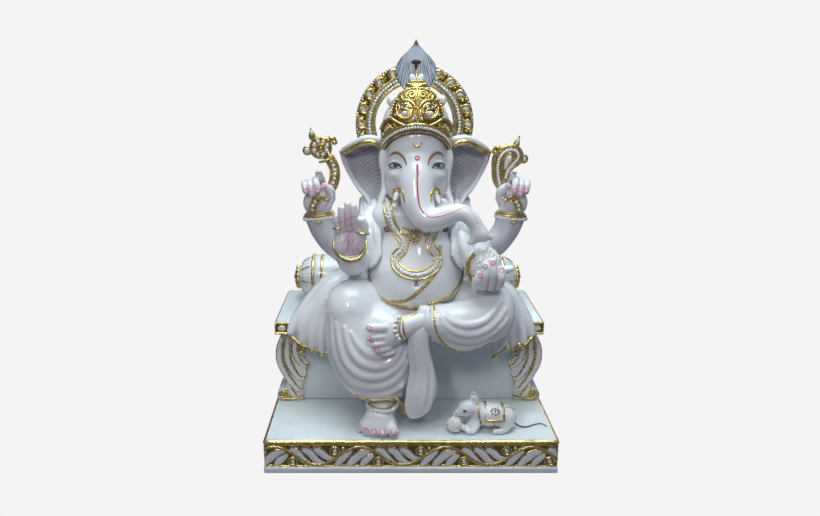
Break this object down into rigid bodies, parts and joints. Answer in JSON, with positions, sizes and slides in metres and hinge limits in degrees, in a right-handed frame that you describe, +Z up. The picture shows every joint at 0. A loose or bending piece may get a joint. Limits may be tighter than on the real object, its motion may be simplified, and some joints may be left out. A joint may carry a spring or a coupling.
{
  "type": "ganesha idol",
  "caption": "Seated elephant-headed deity in gilded white marble on a throne and scrolled plinth, with a ring halo, raised attributes, a blessing hand and a mouse at its feet.",
  "frame": {"origin": "centre of the rectangular underside of the plinth", "axes": "+Z up, -Y towards the viewer in front of the idol, +X to that viewer's right"},
  "size_m": [0.42, 0.29, 0.6],
  "materials": {
    "white_marble": "polished white marble, cool bluish white, faint veining",
    "gilding": "burnished gold paint over marble, darker and browner in the recesses",
    "painted_pearl": "polished white marble beads, warm where the gilding meets them",
    "grey_wash": "grey-lilac wash over finely scored marble",
    "plume_paint": "pale blue-grey paint with fine dark brush strokes"
  },
  "bodies": {
    "root": {"plinth_slab": "white_marble", "plinth_top_moulding": "gilding", "plinth_scroll_frieze": "gilding", "throne_block": "white_marble", "throne_leg_left": "white_marble", "throne_leg_right": "white_marble", "seat_slab": "white_marble", "seat_edge_band": "gilding", "bolster": "white_marble", "bolster_rosette_left": "gilding", "bolster_rosette_right": "gilding", "torso": "white_marble", "head": "white_marble", "trunk": "white_marble", "sweet_ball": "painted_pearl", "leg_folded_right": "white_marble", "leg_hanging_left": "white_marble", "foot_planted": "white_marble", "foot_raised": "white_marble", "hand_blessing": "white_marble", "hand_giving": "white_marble", "arm_front_left": "white_marble", "arm_front_right": "white_marble", "arm_rear_left": "white_marble", "cuff_rear_left": "gilding", "hand_rear_left": "white_marble", "arm_rear_right": "white_marble", "cuff_rear_right": "gilding", "hand_rear_right": "white_marble", "ear_left": "grey_wash", "ear_rim_left": "gilding", "tusk_left": "painted_pearl", "ear_right": "grey_wash", "ear_rim_right": "gilding", "tusk_right": "painted_pearl", "crown_brow_band": "gilding", "crown_turban": "white_marble", "crown_crest_plate": "gilding", "crown_plume": "plume_paint", "halo_ring": "white_marble", "halo_inner_moulding": "gilding", "halo_bead_row": "painted_pearl", "halo_scroll_band": "gilding", "wheel_on_handle": "gilding", "noose_on_handle": "gilding", "drape_left": "white_marble", "drape_right": "white_marble", "sash_hanging": "white_marble", "stole_left": "white_marble", "stole_right": "white_marble", "necklace": "gilding", "sacred_thread": "gilding", "anklet_planted": "painted_pearl", "anklet_raised": "painted_pearl", "cuff_front_left": "gilding", "mouse": "white_marble", "mouse_saddle": "gilding", "mouse_sweet": "painted_pearl"}
  },
  "joints": []
}
